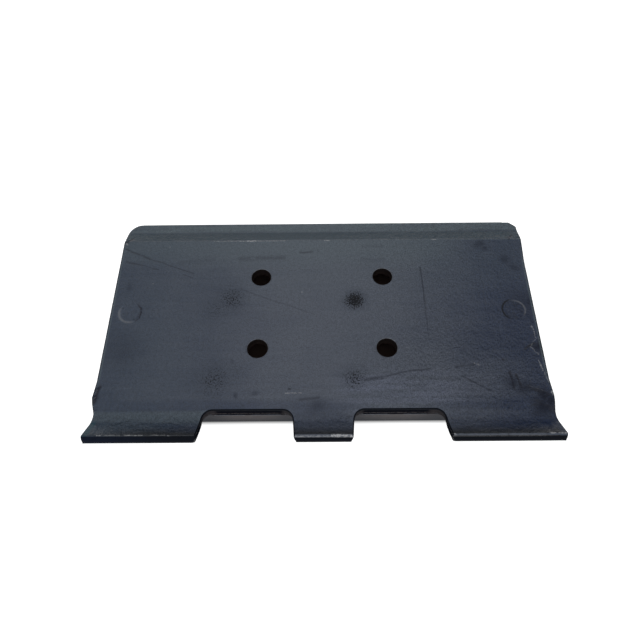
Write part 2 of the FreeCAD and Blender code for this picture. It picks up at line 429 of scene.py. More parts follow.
def ease_relief_edges(form, width):
    """Takes the sharpness off the edge between the top of the shoe and the walls of its reliefs."""
    walls = {face for face in form.faces if is_relief_wall(face)}
    edges = [
        edge for edge in form.edges
        if len(edge.link_faces) == 2
        and sum(face in walls for face in edge.link_faces) == 1
        and max(face.normal.z for face in edge.link_faces) > 0.7]
    eased = bmesh.ops.bevel(
        form, geom=edges, offset=width, segments=3, profile=0.5,
        affect="EDGES", clamp_overlap=False)
    # The eased edges take the painted shade of the nose
    for face in eased["faces"]:
        face.material_index = NOSE


def slice_faces(form, faces, normal, places):
    """Cuts faces by planes across a direction, at the given distances from the origin."""
    normal = Vector(normal)
    geom = faces + list({edge for face in faces for edge in face.edges})
    geom += list({vert for face in faces for vert in face.verts})
    for place in places:
        cut = bmesh.ops.bisect_plane(
            form, geom=geom, dist=1e-4, plane_co=normal * place, plane_no=normal)
        geom = cut["geom"]


def faces_where(form, test):
    return [face for face in form.faces if test(face, face.calc_center_median())]


def runs(*spans):
    """Distances for the cuts, from spans of (start, stop, step)."""
    return np.concatenate([np.arange(*span) for span in spans])


def slice_lip(form):
    """Divides the ridge and the nose of the lip for their nicks."""
    for front, direction, places in (
            (LIP_CREST, ACROSS, runs((-226.0, 227.0, 2.0))),
            (LIP_CREST, ALONG, runs((-147.0, -139.5, 0.4))),
            (-143.5, UPWARD, runs((0.0, 9.0, 0.7)))):
        lip = faces_where(form, lambda face, middle: middle.y < front and middle.z > -4.0)
        slice_faces(form, lip, direction, places)


def slice_ends(form):
    """Divides both ends for their rolled rims and torn metal."""
    for side in (-1.0, 1.0):
        for start, direction, places in (
                (216.0, ACROSS, side * runs((217.4, 227.7, 0.7))),
                (212.0, ALONG, runs((-124.0, -86.0, 1.1), (88.0, 99.0, 1.1)))):
            end = faces_where(form, lambda face, middle: middle.x * side > start and face.normal.z > -0.3)
            slice_faces(form, end, direction, places)


def slice_rounds(form, rounds, reach):
    """Divides a square round each bolt hole and mark."""
    grid = runs((1.2 - reach, reach, 1.2))
    for x, y in rounds:
        def near(face, middle):
            return abs(middle.x - x) < reach and abs(middle.y - y) < reach and middle.z > -12.0

        slice_faces(form, faces_where(form, near), ACROSS, x + grid)
        slice_faces(form, faces_where(form, near), ALONG, y + grid)


def slice_reliefs(form):
    """Divides the walls of the link reliefs for their ripples."""
    walls = [face for face in form.faces if is_relief_wall(face)]
    slice_faces(form, walls, UPWARD, runs((-11.0, 12.0, 1.1)))
    for side in (-1.0, 1.0):
        walls = faces_where(form, lambda face, middle: is_relief_wall(face) and middle.x * side > 0.0)
        slice_faces(form, walls, ACROSS, side * runs((28.0, 126.0, 1.2)))


def slice_shoe(form, step):
    """Divides the shoe finely enough for its waves, nicks and torn edges."""
    reach = 13.8
    rounds = [*((x, y) for x, y, _ in MARKS), *BOLTS]
    borders_x = {x + shift for x, _ in rounds for shift in (-reach, reach)}
    borders_y = {y + shift for _, y in rounds for shift in (-reach, reach)}
    slice_faces(form, form.faces[:], ACROSS, sorted(borders_x | {-216.6, 216.6}))
    slice_faces(form, form.faces[:], ALONG, sorted(borders_y | {LIP_CREST}))
    slice_lip(form)
    slice_ends(form)
    slice_rounds(form, rounds, reach)
    slice_reliefs(form)
    slice_faces(form, form.faces[:], ACROSS, runs((-215.0, 216.0, step)))
    slice_faces(form, form.faces[:], ALONG, runs(
        (-90.0, 92.0, step), (-122.0, -102.0, 1.5), (-135.0, -122.0, 2.5),
        (92.4, 95.3, 0.4), (98.0, 124.0, 2.2), (124.4, 126.3, 0.35)))
    slice_faces(form, form.faces[:], UPWARD, runs((-38.0, -12.0, step)))


def slice_under_rim(form, reach):
    """Divides the sheared walls just below the top, along each stretch of the section."""
    for first, second in zip(SECTION[:TOP_POINTS], SECTION[1:TOP_POINTS]):
        span = Vector((0.0, second[0] - first[0], second[1] - first[1]))
        normal = Vector((0.0, -span.z, span.y)).normalized()
        if normal.z < 0.0:
            normal.negate()
        level = normal.dot(Vector((0.0, first[0], first[1])))
        low, high = sorted((first[0], second[0]))
        walls = faces_where(
            form, lambda face, middle: is_end_wall(face) and low < middle.y < high and middle.z > -17.0)
        slice_faces(form, walls, normal, level - reach * np.array([0.12, 0.3, 0.5, 0.75, 1.0, 1.6, 2.4]))


def nearest_on_lines(points, starts, stops, batch=2000):
    """Distance from each point to the nearest of the lines, and the point on that line."""
    gaps = np.empty(len(points))
    feet = np.zeros_like(points)
    spans = stops - starts
    lengths = np.maximum((spans ** 2).sum(1), 1e-12)
    for first in range(0, len(points), batch):
        part = points[first:first + batch]
        offset = part[:, None] - starts[None]
        share = np.clip((offset * spans[None]).sum(2) / lengths[None], 0.0, 1.0)
        places = starts[None] + share[..., None] * spans[None]
        distances = np.sqrt(((part[:, None] - places) ** 2).sum(2))
        best = distances.argmin(1)
        rows = np.arange(len(part))
        gaps[first:first + batch] = distances[rows, best]
        feet[first:first + batch] = places[rows, best]
    return gaps, feet


def settle_on_section(points, tolerance=0.16):
    """Moves points that lie within the mesh tolerance of the section onto it."""
    line = rounded_line(SECTION)
    gaps, feet = nearest_on_lines(points[:, 1:], line, np.roll(line, -1, axis=0))
    close = gaps < tolerance
    points[close, 1:] = feet[close]


def settle_on_circles(points, tolerance=0.14):
    """Moves points that lie within the mesh tolerance of a hole's or mark's rim onto it."""
    circles = [(x, y, radius) for x, y in BOLTS for radius in (BORE_RADIUS, RIM_RADIUS)]
    circles += [*MARKS, *((x, y, MARK_BOTTOM) for x, y, _ in MARKS)]
    for x, y, radius in circles:
        offset = points[:, :2] - (x, y)
        distance = np.sqrt((offset ** 2).sum(1))
        close = (abs(distance - radius) < tolerance) & (points[:, 2] < 0.1) & (points[:, 2] > -11.6)
        points[close, :2] = (x, y) + offset[close] * (radius / distance[close])[:, None]


def end_rims(form):
    """Both ends of each edge between the top and a sheared wall."""
    starts = []
    stops = []
    for edge in form.edges:
        if len(edge.link_faces) != 2 or abs(edge.verts[0].co.x) < END_START:
            continue
        first, second = sorted(edge.link_faces, key=lambda face: face.normal.z)
        if is_end_wall(first) and second.normal.z > TOP_SLOPE:
            starts.append(edge.verts[0].co[:])
            stops.append(edge.verts[1].co[:])
    return np.array(starts), np.array(stops)


def roll_over_ends(points, normals, starts, stops, radius):
    """Rounds the top edge of the sheared ends, as the shear draws the metal down.

    Gives each point's nearness to that edge: 1 at the edge and on the wall, 0 from 8 mm inward."""
    rolled = np.zeros(len(points), dtype=np.float32)
    near = np.where(abs(points[:, 0]) > END_START)[0]
    gaps, feet = nearest_on_lines(points[near], starts, stops)
    for index, gap, foot in zip(near, gaps, feet):
        on_top = normals[index][2] > TOP_SLOPE
        rolled[index] = max(0.0, 1.0 - gap / 8.0) if on_top else 1.0
        size = radius * min(max((abs(foot[0]) - 206.0) / 10.0, 0.0), 1.0)
        if size < 0.05 or gap > size:
            continue
        lift = math.radians(45.0)
        if gap >= 1e-3:
            lift += math.copysign(lift * gap / size, 1.0 if on_top else -1.0)
        points[index][0] = foot[0] - math.copysign(size * (1.0 - math.cos(lift)), foot[0])
        points[index][2] = foot[2] - size * (1.0 - math.sin(lift))
    return rolled


def grain_at(point, size, shift=0.0):
    """Smooth noise between -1 and 1 with features of the given size in mm."""
    return noise.noise(Vector((point[0] / size + shift, point[1] / size - shift, point[2] / size)))


def smooth_share(value, low, high):
    share = min(max((value - low) / (high - low), 0.0), 1.0)
    return share * share * (3.0 - 2.0 * share)


def wear_top(point, shape):
    """Lowers a point of the rolled top: slow waves, torn patches and the marks' dished rims."""
    x, y, _ = point
    drop = shape.plate_wave / MM * (0.5 + 0.5 * grain_at((x, y, 0.0), 34.0))
    for patch_x, patch_y, reach, depth in TORN_PATCHES:
        away = math.hypot(x - patch_x, 0.7 * (y - patch_y))
        if away < reach:
            share = 1.0 - smooth_share(away, 0.3 * reach, reach)
            rough = 0.5 + 0.5 * grain_at(point, 2.2, 3.0) + 0.4 * grain_at(point, 1.1, 7.0)
            drop += depth * share * max(rough, 0.0)
    for mark_x, mark_y, radius in MARKS:
        away = math.hypot(x - mark_x, y - mark_y)
        if away < radius + 2.0:
            dish = 0.55 * (1.0 - smooth_share(away, radius - 3.0, radius + 1.5))
            dish += 0.12 * grain_at(point, 4.0, 2.0) * (1.0 - smooth_share(away, radius - 4.0, radius))
            point[2] = -dish
    point[2] -= drop


def wear_ridge(point, shape):
    """Nicks the ridge of the lip."""
    near = 1.0 - smooth_share(math.hypot(point[1] + 141.3, point[2] - 11.9), 0.8, 3.0)
    along_ridge = (point[0], 0.0, 0.0)
    bite = grain_at(along_ridge, 5.0, 1.0) + 0.5 * grain_at(along_ridge, 2.2, 4.0) - 0.15
    depth = 2.0 * shape.ridge_nick / MM * max(0.0, bite) * near
    point[2] -= depth
    point[1] += 0.5 * depth


def tear_end(point, shape):
    """Tears a sheared wall: drawn smooth near the top, broken below, never outward."""
    drawn = 0.5 + 0.5 * grain_at((0.0, point[1], 0.2 * point[2]), 1.8)
    broken = 0.5 + 0.5 * grain_at(point, 3.0, 5.0) + 0.35 * grain_at(point, 1.3, 9.0)
    low = smooth_share(-point[2], 2.0, 6.0)
    depth = shape.shear_tear / MM * (0.3 * drawn * (1.0 - low) + max(broken, 0.0) * low)
    point[0] -= math.copysign(depth, point[0])


def ripple_cut(point, normal, shape):
    """Ripples the wall of a relief, as a flame leaves it."""
    depth = 0.5 + 0.5 * grain_at((point[0], point[1], 0.3 * point[2]), 2.6, 2.0)
    depth = shape.cut_ripple / MM * depth * smooth_share(abs(point[2] + 4.0), -1.0, 3.0)
    point[0] -= depth * normal[0]
    point[1] -= depth * normal[1]


def wear(points, normals, relief_walls, end_walls, shape):
    """Gives each point the wear of the face that it lies on."""
    for index, point in enumerate(points):
        steepness = normals[index][2]
        if steepness < 0.3 and index in relief_walls:
            ripple_cut(point, normals[index], shape)
        elif steepness < 0.3 and index in end_walls:
            tear_end(point, shape)
        if steepness > 0.3 and point[1] > -138.0:
            wear_top(point, shape)
        elif steepness > 0.3:
            wear_ridge(point, shape)


def make_shoe_mesh(shape):
    """The dressed shoe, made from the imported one."""
    form = cad_form()
    ease_relief_edges(form, shape.cut_edge / MM)
    slice_shoe(form, shape.mesh_step / MM)
    slice_under_rim(form, shape.rolled_edge / MM)
    starts, stops = end_rims(form)
    form.verts.index_update()
    relief_walls = {vert.index for face in form.faces if is_relief_wall(face) for vert in face.verts}
    end_walls = {vert.index for face in form.faces if is_end_wall(face) for vert in face.verts}
    mesh = bpy.data.meshes.new("worn_track_shoe")
    form.normal_update()
    form.to_mesh(mesh)
    form.free()
    points = np.empty(len(mesh.vertices) * 3)
    mesh.vertices.foreach_get("co", points)
    points = points.reshape(-1, 3)
    normals = np.array([vert.normal[:] for vert in mesh.vertices])
    settle_on_section(points)
    settle_on_circles(points)
    rolled_share = roll_over_ends(points, normals, starts, stops, shape.rolled_edge / MM)
    wear(points, normals, relief_walls, end_walls, shape)
    mesh.vertices.foreach_set("co", (points * MM).ravel())
    rolled = mesh.attributes.new("rolled_edge", "FLOAT", "POINT")
    rolled.data.foreach_set("value", rolled_share)
    mesh.update()
    return mesh


def put(tree, kind, inputs=None, **settings):
    """Adds a node with its settings, and fills its inputs with values or joins them to outputs."""
    node = tree.nodes.new(kind)
    for name, value in settings.items():
        setattr(node, name, value)
    for key, value in (inputs or {}).items():
        if isinstance(value, bpy.types.NodeSocket):
            tree.links.new(value, node.inputs[key])
        else:
            node.inputs[key].default_value = value
    return node


def reckon(operation, *values):
    """One arithmetic step; its first value is a number that varies over the surface."""
    return put(values[0].id_data, "ShaderNodeMath", dict(enumerate(values)), operation=operation).outputs[0]


def reckon_all(operation, first, others):
    """The same step with one value after another."""
    for other in others:
        first = reckon(operation, first, other)
    return first


def times(first, *others):
    return reckon_all("MULTIPLY", first, others)


def plus(first, *others):
    return reckon_all("ADD", first, others)


def less(first, *others):
    return reckon_all("SUBTRACT", first, others)


def most(first, *others):
    return reckon_all("MAXIMUM", first, others)


def weigh(value, factor, base):
    """The value times a factor, on top of a base."""
    return reckon("MULTIPLY_ADD", value, factor, base)


def turn(operation, *values):
    """One step between vectors; gives the number for a distance, length or dot product."""
    node = put(values[0].id_data, "ShaderNodeVectorMath", dict(enumerate(values)), operation=operation)
    return node.outputs[1 if operation in {"DISTANCE", "LENGTH", "DOT_PRODUCT"} else 0]


def scale(vector, factor):
    """A vector or colour made longer or brighter by one factor."""
    inputs = {0: vector, "Scale": factor}
    return put(factor.id_data, "ShaderNodeVectorMath", inputs, operation="SCALE").outputs[0]


def clamp(value):
    return put(value.id_data, "ShaderNodeClamp", {0: value}).outputs[0]


def ease(value, low, high, start=0.0, stop=1.0):
    """Goes smoothly from start to stop while the value goes from low to high."""
    inputs = {0: value, 1: low, 2: high, 3: start, 4: stop}
    return put(value.id_data, "ShaderNodeMapRange", inputs, interpolation_type="SMOOTHSTEP").outputs[0]


def band(value, rise, top, fall, end, height=1.0):
    """A stripe: rises from rise to top, and falls again from fall to end."""
    return times(ease(value, rise, top, 0.0, height), ease(value, fall, end, 1.0, 0.0))


def noise_at(place, size, detail=2.0, roughness=0.5):
    return put(place.id_data, "ShaderNodeTexNoise", {
        "Vector": place, "Scale": 1.0 / size, "Detail": detail, "Roughness": roughness})


def mottle(place, size, detail=2.0, roughness=0.5):
    """Noise between 0 and 1 with features of the given size in mm."""
    return noise_at(place, size, detail, roughness).outputs[0]


def shaken(place, size, reach):
    """The place moved by noise with features of the given size, up to a reach (x, y, z)."""
    back = tuple(-0.5 * value for value in reach)
    shift = turn("MULTIPLY_ADD", noise_at(place, size).outputs[1], reach, back)
    return turn("ADD", place, shift)


def stretch(place, factors):
    return turn("MULTIPLY", place, factors)


def tint(share, base, over):
    """Lays one colour over another."""
    return put(share.id_data, "ShaderNodeMix", {0: share, 6: base, 7: over}, data_type="RGBA").outputs[2]


def solid(color):
    return (*color, 1.0)


def place_in_mm(tree):
    place = put(tree, "ShaderNodeTexCoord").outputs["Object"]
    return turn("MULTIPLY", place, (1.0 / MM, 1.0 / MM, 1.0 / MM))


def parts_of(vector):
    """The X, Y and Z of a vector."""
    return tuple(put(vector.id_data, "ShaderNodeSeparateXYZ", {0: vector}).outputs)


def spots_at(place, spots):
    """Soft round patches; the strongest one counts where they meet."""
    return most(*(
        ease(turn("DISTANCE", place, (x, y, 0.0)), reach, 0.0, 0.0, strength)
        for x, y, reach, strength in spots))


def scratches_at(place, scratches):
    """Thin lines between two points each; the strongest one counts where they meet."""
    lines = []
    for *ends, width, strength in scratches:
        start = Vector(ends[:3])
        span = Vector(ends[3:]) - start
        offset = turn("SUBTRACT", place, start[:])
        share = clamp(turn("DOT_PRODUCT", offset, (span / span.length_squared)[:]))
        foot = scale(span[:], share)
        lines.append(ease(turn("DISTANCE", offset, foot), width, 0.0, 0.0, strength))
    return most(*lines)


def mark_arc(place, mark, toward, inner, outer):
    """Part of the rim round a mark, on the side that faces a direction."""
    offset = turn("SUBTRACT", place, (mark[0], mark[1], 0.0))
    side = ease(turn("DOT_PRODUCT", offset, toward), 1.0, 9.0)
    middle = (inner + outer) / 2.0
    rim = band(turn("LENGTH", offset), inner, middle, middle, outer)
    return times(side, rim)


def new_material(name):
    """A material without nodes, and its node tree."""
    material = bpy.data.materials.new(name)
    material.use_nodes = True
    material.node_tree.nodes.clear()
    return material, material.node_tree


def join_finish(tree, color, roughness, specular, height):
    """Joins the colour, roughness, gloss and height in mm to a shader."""
    bump = put(tree, "ShaderNodeBump", {"Strength": 1.0, "Distance": MM, "Height": height})
    shader = put(tree, "ShaderNodeBsdfPrincipled", {
        "Base Color": color, "Roughness": roughness, "Normal": bump.outputs[0],
        "Specular IOR Level": specular})
    put(tree, "ShaderNodeOutputMaterial", {"Surface": shader.outputs[0]})


def tone_and_painted_light_by_place(finish, x, y, broad, streak):
    """Colour of the paint from end to end and from tail to lip, with painted shade over the dip and below the
    crease and painted sheen on the tail tip and crease, before smears, spots and wear.
    """
    tone = weigh(streak, 0.5, weigh(broad, 0.7, 0.37))
    tone = less(
        tone,
        ease(x, 60.0, 235.0, 0.0, 1.12),
        ease(x, 190.0, 225.0, 0.0, 0.22),
        ease(x, -20.0, -150.0, 0.0, 0.5),
        ease(x, -140.0, -226.0, 0.0, 0.40),
        # Painted shade: a darker band across the front dip, darker again towards the lip
        band(y, -114.0, -109.0, -106.0, -97.0, 0.38),
        ease(y, -107.0, -116.0, 0.0, 0.35))
    tone = plus(
        tone,
        times(ease(y, -30.0, -80.0, 0.0, 0.34), ease(x, 10.0, 70.0)),
        times(band(y, -128.0, -121.0, -114.0, -109.0, 0.22), ease(x, 110.0, 160.0)))
    color = tint(clamp(tone), solid(finish.paint), solid(finish.faded_paint_and_highlight))

    # Painted shade on the slope of the tail just below its crease
    shade_below_crease = times(ease(y, 94.0, 97.0), ease(y, 113.0, 108.0, 0.0, 0.95))
    color = tint(shade_below_crease, color, solid(finish.painted_tail_shade))

    # Greenish paint towards the back, the left lip and the left end; on the tail tip, the left dip and the
    # crease it is a painted sheen
    paler_back = times(
        ease(y, 30.0, 88.0, 0.0, 0.52), ease(y, 97.0, 93.5),
        ease(x, 120.0, 185.0, 1.0, 0.2))
    # Painted sheen on the flatter tip of the tail
    tail_tip = times(
        ease(y, 108.5, 113.5, 0.0, 0.85), ease(streak, 0.25, 0.70, 0.60, 1.20))
    # Painted sheen in the front dip on the left
    left_dip = times(band(y, -133.0, -119.0, -114.0, -108.5, 0.55), ease(x, -20.0, -120.0))
    left_lip = times(ease(y, -110.0, -122.0), ease(x, -100.0, -190.0, 0.0, 0.42))
    # Painted highlight along the bend of the crease, with its worn paint
    crease = band(y, 91.8, 93.4, 94.2, 95.6, 0.55)
    left_end = ease(x, -60.0, -200.0, 0.0, 0.20)
    back_half = ease(y, -10.0, 70.0, 0.0, 0.18)
    greenish_and_sheen = most(paler_back, tail_tip, left_dip, left_lip, crease, left_end, back_half)
    color = tint(greenish_and_sheen, color, solid(finish.greenish_paint_and_sheen))

    pale = times(
        band(y, -107.0, -102.0, -88.0, -62.0, 0.85), band(x, 0.0, 32.0, 100.0, 190.0),
        ease(streak, 0.35, 0.6))
    return tint(pale, color, solid(finish.pale_paint))


def speckled(color, grain, coarse, depth):
    """The colour made lighter and darker by the grain of the paint."""
    fine = times(less(ease(grain, 0.3, 0.7), 0.5), depth)
    shade = weigh(less(ease(coarse, 0.3, 0.7), 0.5), 0.25, fine)
    return scale(color, plus(shade, 1.0))


def lip_colours(finish, place, x, y, near_end, streak, color):
    """Darkens the lip towards its nose with grime and painted shade, gives its ends their own paint, and
    paints a highlight along its ridge.
    """
    on_lip = ease(y, -118.0, -126.0)
    # Grime and painted shade, growing from the dip up to the ridge, weaker at the left end
    dirt_and_shade = times(
        ease(y, -127.0, -141.0), ease(x, -222.0, -160.0, 0.20, 0.97),
        ease(streak, 0.2, 0.5, 0.75, 1.0))
    color = tint(dirt_and_shade, color, solid(finish.soot_and_shade))
    at_end = times(ease(near_end, 0.0, 0.35, 0.0, 0.82), on_lip)
    end_paint = tint(ease(x, -10.0, 10.0), solid(finish.left_lip_end), solid(finish.right_lip_end))
    color = tint(at_end, color, end_paint)

    ridge = Vector((0.0, *SECTION[RIDGE][:2]))
    back = (Vector((0.0, *SECTION[RIDGE - 1][:2])) - ridge).normalized()
    offset = turn("SUBTRACT", place, ridge[:])
    back_from_ridge = turn("DOT_PRODUCT", offset, back[:])
    down_from_ridge = turn("DOT_PRODUCT", offset, (0.0, back.z, -back.y))
    middle_tab = times(ease(x, -38.0, -34.0), ease(x, 40.0, 35.0))
    down_from_ridge = weigh(middle_tab, -2.3, down_from_ridge)
    down_from_ridge = less(down_from_ridge, ease(x, 110.0, 114.0, 0.0, 1.35))
    on_crest = ease(y, -137.0, -138.5)
    # Painted shade on the front face below the ridge
    below = times(on_crest, ease(down_from_ridge, 0.3, 2.2, 0.25, 0.95))
    color = tint(below, color, solid(finish.soot_and_shade))
    # Painted highlight along the ridge of the lip, weaker on the left
    crest = times(
        on_crest, ease(back_from_ridge, 1.3, 0.8), ease(down_from_ridge, 0.50, 0.10),
        ease(x, -110.0, -100.0, 0.42, 1.0))
    return tint(crest, color, solid(finish.faded_paint_and_highlight))


def chips_and_glints_at(place, z):
    """Where bare steel shows along the light scratches and on the worn rims of the holes, with painted glints
    along the crease and the ridge of the lip, and a painted highlight on the outer side of each mark's rim.
    """
    hole_rims = times(
        ease(z, -0.25, -0.5),
        ease(turn("LENGTH", stretch(place, (1.0, 1.2, 0.0))), 108.0, 104.0, 0.0, 0.16))
    left_mark, right_mark = MARKS
    # Painted highlight on the outer side of each mark's rim
    mark_rim_highlights = most(
        mark_arc(place, left_mark, (-0.75, -0.65, 0.0), 9.6, 14.2),
        mark_arc(place, right_mark, (0.80, 0.35, 0.0), 9.8, 12.8))
    broken = ease(mottle(stretch(place, (0.5, 1.0, 1.0)), 1.3, 3.0, 0.7), 0.40, 0.56)
    scratches = scratches_at(shaken(place, 4.545, (5.0, 0.0, 0.0)), LIGHT_SCRATCHES_AND_GLINTS)
    return most(times(scratches, broken), hole_rims, times(mark_rim_highlights, 0.17))


def wrinkles(x, y, roughening, spots):
    """How strongly the paint wrinkles: more towards the right, the left end, the lip and the spots."""
    strength = times(
        roughening, ease(y, 20.0, -80.0, 1.4, 3.0), ease(y, -106.0, -116.0, 1.0, 0.35))
    strength = plus(
        strength, ease(x, -60.0, -120.0, 0.22, 0.75), ease(y, -106.0, -116.0, 0.0, 1.2))
    return weigh(spots, 0.7, strength)


def worn_paint(finish):
    """Paint on the faces that the mill rolled, with its smears, spots, scratches and bare nicks, and with
    painted shade and highlights on the tail, the dip, the lip, the rolled ends and the marks.
    """
    material, tree = new_material("worn_paint")
    place = place_in_mm(tree)
    x, y, z = parts_of(place)
    near_end = put(tree, "ShaderNodeAttribute", attribute_name="rolled_edge").outputs["Fac"]
    broad = mottle(place, 45.0, 3.0, 0.55)
    streak = mottle(stretch(place, (0.08, 1.0, 1.0)), 6.0, 3.0, 0.55)
    coarse = mottle(place, 3.2, 3.0, 0.6)
    grain = mottle(place, 1.3, 2.0, 0.6)
    spatter = mottle(place, 1.6, 2.0, 0.7)

    roughening = ease(x, -30.0, 150.0)
    color = tone_and_painted_light_by_place(finish, x, y, broad, streak)
    color = speckled(color, grain, coarse, weigh(roughening, 0.35, 0.45))
    color = lip_colours(finish, place, x, y, near_end, streak, color)

    smears = spots_at(shaken(place, 20.0, (15.0, 9.0, 0.0)), SMEARS)
    smears = times(smears, ease(coarse, 0.2, 0.5, 0.5, 1.0))
    patchy = mottle(stretch(place, (0.4, 1.0, 1.0)), 4.0, 3.0, 0.6)
    scratches = scratches_at(shaken(place, 20.0, (3.0, 3.0, 0.0)), DARK_SCRATCHES)
    scratches = times(scratches, ease(patchy, 0.24, 0.50, 0.0, 1.4))
    color = tint(most(smears, scratches), color, solid(finish.grime))

    spots = spots_at(place, SPOTS)
    specks = ease(weigh(spots, -0.30, spatter), 0.36, 0.26)
    specks = times(specks, ease(spots, 0.0, 0.6))
    mark_shade = mark_arc(place, MARKS[1], (-1.0, 0.1, 0.0), 10.8, 14.5)
    # Spattered spots, with painted shade on the rolled rims of the ends and on the inner side of the right
    # mark's rim
    dark = most(weigh(spots, 0.12, specks), ease(near_end, 0.80, 0.90), mark_shade)
    color = tint(dark, color, solid(finish.soot_and_shade))

    # Painted highlight: a light line just inside the rolled rims of the ends
    edge_line = times(
        band(near_end, 0.50, 0.62, 0.70, 0.80, 0.6), band(y, -92.0, -75.0, 60.0, 90.0))
    color = tint(edge_line, color, solid(finish.greenish_paint_and_sheen))
    chips_and_glints = chips_and_glints_at(place, z)
    color = tint(chips_and_glints, color, solid(finish.bare_steel_and_glint))

    roughness = weigh(coarse, 0.08, weigh(broad, 0.12, finish.roughness - 0.08))
    roughness = weigh(most(dark, smears), 0.5, roughness)
    by_lip_end = times(
        ease(reckon("ABSOLUTE", x), 203.0, 214.0), ease(y, -118.0, -126.0))
    wrinkle = times(wrinkles(x, y, roughening, spots), weigh(by_lip_end, -0.7, 1.0))
    height = weigh(coarse, wrinkle, times(grain, finish.grain / MM))
    height = weigh(mottle(place, 8.0), wrinkle, height)
    height = weigh(spatter, times(spots, 1.6), height)
    height = weigh(scratches, -0.25, height)
    height = weigh(chips_and_glints, -0.12, height)
    join_finish(tree, color, roughness, weigh(by_lip_end, -0.3, 0.5), height)
    return material


def cut_walls(finish):
    """Dark, rough walls where the shoe was sheared to length and its reliefs were cut."""
    material, tree = new_material("cut_walls")
    place = place_in_mm(tree)
    x, y, z = parts_of(place)
    aside = reckon("ABSOLUTE", x)
    drag = mottle(stretch(place, (1.0, 1.0, 0.25)), 1.6, 3.0, 0.6)
    rough = mottle(place, 2.4, 4.0, 0.65)
    by_reliefs = ease(aside, 140.0, 130.0)
    slag = band(weigh(rough, 3.0, z), -9.7, -8.9, -8.3, -7.5)
    slag = times(slag, ease(drag, 0.36, 0.50, 0.3, 1.0), by_reliefs)
    side_wall = most(ease(aside, 42.0, 37.0), ease(aside, 102.0, 107.0))
    side_wall = times(side_wall, by_reliefs, ease(y, -124.0, -117.0, 0.0, 0.5))
    color = tint(times(drag, 0.15), solid(finish.cut_steel), solid(finish.paint))
    # The side walls of the reliefs take some of the grousers' grey of dusting and painted light
    color = tint(most(slag, side_wall), color, solid(finish.dust_and_light))
    height = weigh(rough, 0.5, times(drag, 0.25))
    join_finish(tree, color, weigh(rough, 0.2, 0.5), 0.0, height)
    return material


def dull_paint(finish):
    """Thin dull paint on the underside and the grousers; the grousers' faces take a grey of dusting and
    painted light, lightest near their tops and in the middle of each relief, with painted shade at their
    tips.
    """
    material, tree = new_material("dull_paint")
    place = place_in_mm(tree)
    x, _, z = parts_of(place)
    rough = mottle(place, 4.0, 4.0, 0.6)
    from_bolt_rows = reckon("ABSOLUTE", less(reckon("ABSOLUTE", x), 73.0))
    # Painted light and shade on the grousers' faces, with some dusting: lightest near the top and the middle
    # of each relief, dark at the tip
    dust_and_light_share = times(
        ease(z, -12.5, -15.0), ease(z, -17.0, -39.0, 1.15, 0.35),
        ease(z, -38.8, -36.5), ease(from_bolt_rows, 44.0, 8.0, 0.25, 1.0))
    color = tint(times(rough, 0.6), solid(finish.cut_steel), solid(finish.faded_paint_and_highlight))
    color = tint(dust_and_light_share, color, solid(finish.dust_and_light))
    join_finish(tree, color, weigh(rough, 0.2, 0.5), 0.08, times(rough, 0.3))
    return material


def nose_shade(finish):
    """Painted shade: almost black, nearly glossless colour on the nose of the lip and the eased edges of its
    reliefs, standing in for the dark they show; bluer towards the left end.
    """
    material, tree = new_material("nose_shade")
    place = place_in_mm(tree)
    x, _, _ = parts_of(place)
    rough = mottle(stretch(place, (0.3, 1.0, 1.0)), 2.5, 3.0, 0.6)
    blue = times(ease(x, -130.0, -215.0, 0.02, 0.30), ease(rough, 0.3, 0.6, 0.7, 1.0))
    color = tint(blue, solid(finish.soot_and_shade), solid(finish.paint))
    join_finish(tree, color, weigh(rough, 0.2, 0.35), 0.05, times(rough, 0.1))
    return material


def bore_walls(finish):
    """Sooty walls of the bolt holes, with painted light at their lower ends."""
    material, tree = new_material("bore_walls")
    place = place_in_mm(tree)
    _, _, z = parts_of(place)
    drag = mottle(stretch(place, (1.0, 1.0, 0.2)), 1.5, 3.0, 0.6)
    color = tint(times(drag, 0.3), solid(finish.bore_steel), solid(finish.soot_and_shade))
    # Painted light at the lower ends of the bores
    color = tint(ease(z, -5.0, -11.0, 0.0, 0.20), color, solid(finish.painted_bore_light))
    join_finish(tree, color, weigh(drag, 0.2, 0.6), 0.1, times(drag, 0.2))
    return material


def finish_of(face):
    """Which of the finishes a face takes."""
    x, y, z = (value / MM for value in face.center)
    across, along, upward = face.normal
    # The nose's painted shade begins higher on the left of the lip
    nose_shade_top = 12.3 if x < -100.0 else 10.4
    if (y < -140.0 and along < -0.3 and z < nose_shade_top) or (y < -144.0 and upward < TOP_SLOPE):
        return NOSE
    if upward > TOP_SLOPE:
        return WORN
    if abs(x) > END_START and abs(across) > 0.5:
        return CUT
    in_relief = abs(x) < RELIEF_REACH and y < -107.0
    on_back_wall = y < RELIEF_BACK and along < -0.8 and z > -12.2
    if in_relief and (abs(across) > 0.4 or on_back_wall):
        return CUT
    if y > 120.0 and z > -13.0:
        return WORN
    if z > -11.4 and any(math.hypot(x - bolt_x, y - bolt_y) < 12.0 for bolt_x, bolt_y in BOLTS):
        return BORE
    return DULL


def give_finishes(shoe, finish):
    """Puts paint on the rolled faces and the darker finishes on the walls and underneath."""
    mesh = shoe.data
    for make_finish in (worn_paint, cut_walls, dull_paint, nose_shade, bore_walls):
        mesh.materials.append(make_finish(finish))
    for face in mesh.polygons:
        if face.material_index != NOSE:
            face.material_index = finish_of(face)


